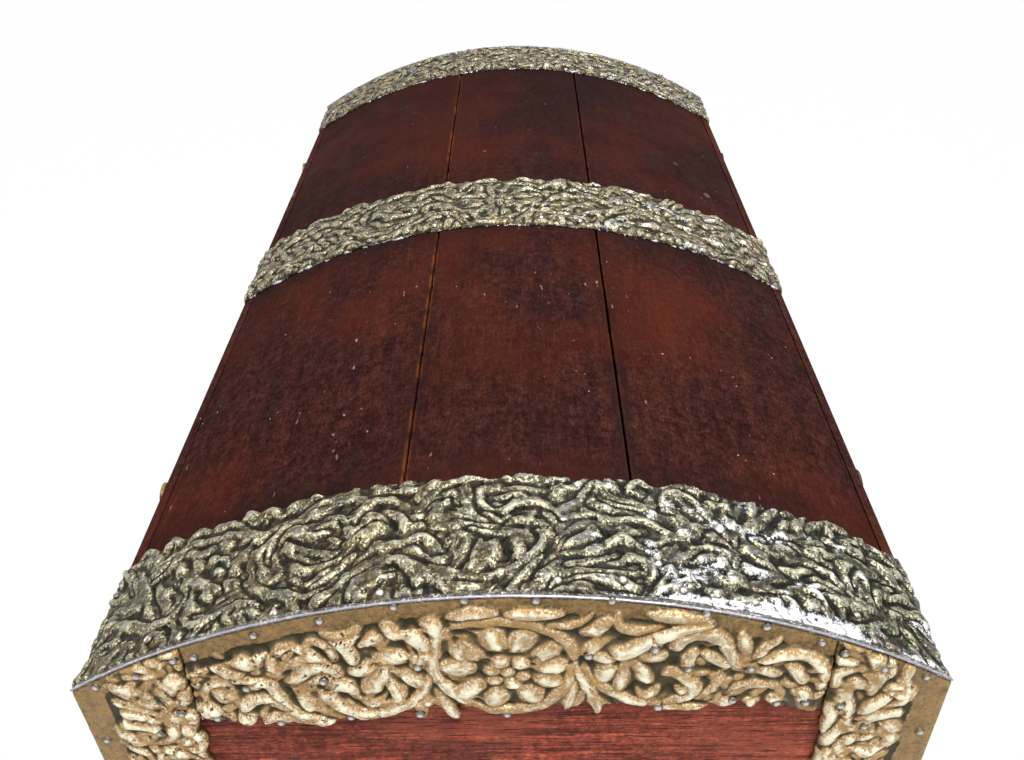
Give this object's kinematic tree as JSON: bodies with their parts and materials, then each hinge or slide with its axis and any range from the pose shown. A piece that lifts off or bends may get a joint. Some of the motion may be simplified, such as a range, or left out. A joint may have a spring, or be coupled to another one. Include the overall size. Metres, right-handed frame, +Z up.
{
  "type": "dome top trunk",
  "caption": "Dome top trunk of dark boards with embossed metal bands and corner mounts, a hinged lid, folding hasps and bail handles on the ends.",
  "frame": {"origin": "on the floor, under the middle of the middle runner, which is the middle of the trunk", "axes": "+X along the trunk towards its right end as seen from the front, +Y towards the back with the lid hinges, +Z up"},
  "size_m": [0.9222, 0.5072, 0.5171],
  "materials": {
    "dome_wood": "dark red-brown mahogany, worn polish",
    "end_wood": "red-brown mahogany, worn polish",
    "inner_wood": "bare mahogany",
    "silvered_brass": "embossed, worn silvering over brass with dark patina",
    "gilded_brass": "embossed, warm gilt with dark patina",
    "pewter": "smooth grey edging",
    "iron": "dark wrought iron",
    "brass": "tarnished brass"
  },
  "bodies": {
    "body": {"base_board": "inner_wood", "front_board": "dome_wood", "back_board": "dome_wood", "end_board_left": "end_wood", "end_board_right": "end_wood", "runner_left": "inner_wood", "runner_middle": "inner_wood", "runner_right": "inner_wood", "body_strap_front_left": "silvered_brass", "body_strap_front_middle": "silvered_brass", "body_strap_front_right": "silvered_brass", "body_strap_back_left": "silvered_brass", "body_strap_back_middle": "silvered_brass", "body_strap_back_right": "silvered_brass", "body_corner_mount_front_left": "gilded_brass", "body_corner_mount_front_right": "gilded_brass", "body_corner_mount_back_left": "gilded_brass", "body_corner_mount_back_right": "gilded_brass", "hinge_strap_body_left": "iron", "hinge_strap_body_right": "iron", "hinge_pin_left": "iron", "hinge_pin_right": "iron", "staple_plate_left": "brass", "staple_plate_right": "brass", "handle_plate_left": "brass", "handle_plate_right": "brass", "handle_eye_front_left": "brass", "handle_eye_back_left": "brass", "handle_eye_front_right": "brass", "handle_eye_back_right": "brass"},
    "lid": {"lid_plank_front": "dome_wood", "lid_plank_crown": "dome_wood", "lid_plank_back": "dome_wood", "lid_front_rail": "dome_wood", "lid_back_rail": "dome_wood", "lid_end_board_left": "end_wood", "lid_end_board_right": "end_wood", "lid_rib": "inner_wood", "lid_band_left": "silvered_brass", "lid_band_middle": "silvered_brass", "lid_band_right": "silvered_brass", "arch_mount_left": "gilded_brass", "arch_mount_right": "gilded_brass", "arch_edging_left": "pewter", "arch_edging_right": "pewter", "lid_corner_mount_front_left": "gilded_brass", "lid_corner_mount_front_right": "gilded_brass", "lid_corner_mount_back_left": "gilded_brass", "lid_corner_mount_back_right": "gilded_brass", "hinge_strap_lid_left": "iron", "hinge_strap_lid_right": "iron", "hasp_plate_left": "brass", "hasp_plate_right": "brass", "hasp_pin_left": "brass", "hasp_pin_right": "brass"},
    "hasp_left": {"hasp_left": "brass"},
    "hasp_right": {"hasp_right": "brass"},
    "handle_left": {"handle_bail_left": "brass"},
    "handle_right": {"handle_bail_right": "brass"}
  },
  "joints": [
    {"name": "lid_hinge", "type": "hinge", "parent": "body", "child": "lid", "pos_m": [0, 0.2428, 0.3466], "axis": [-1, 0, 0], "range_deg": [0, 100]},
    {"name": "hasp_left_hinge", "type": "hinge", "parent": "lid", "child": "hasp_left", "pos_m": [-0.27298, -0.24275, 0.3669], "axis": [1, 0, 0], "range_deg": [0, 180]},
    {"name": "hasp_right_hinge", "type": "hinge", "parent": "lid", "child": "hasp_right", "pos_m": [0.27298, -0.24275, 0.3669], "axis": [1, 0, 0], "range_deg": [0, 180]},
    {"name": "handle_left_hinge", "type": "hinge", "parent": "body", "child": "handle_left", "pos_m": [-0.4521, 0, 0.2341], "axis": [0, 1, 0], "range_deg": [0, 175]},
    {"name": "handle_right_hinge", "type": "hinge", "parent": "body", "child": "handle_right", "pos_m": [0.4521, 0, 0.2341], "axis": [0, -1, 0], "range_deg": [0, 175]}
  ]
}
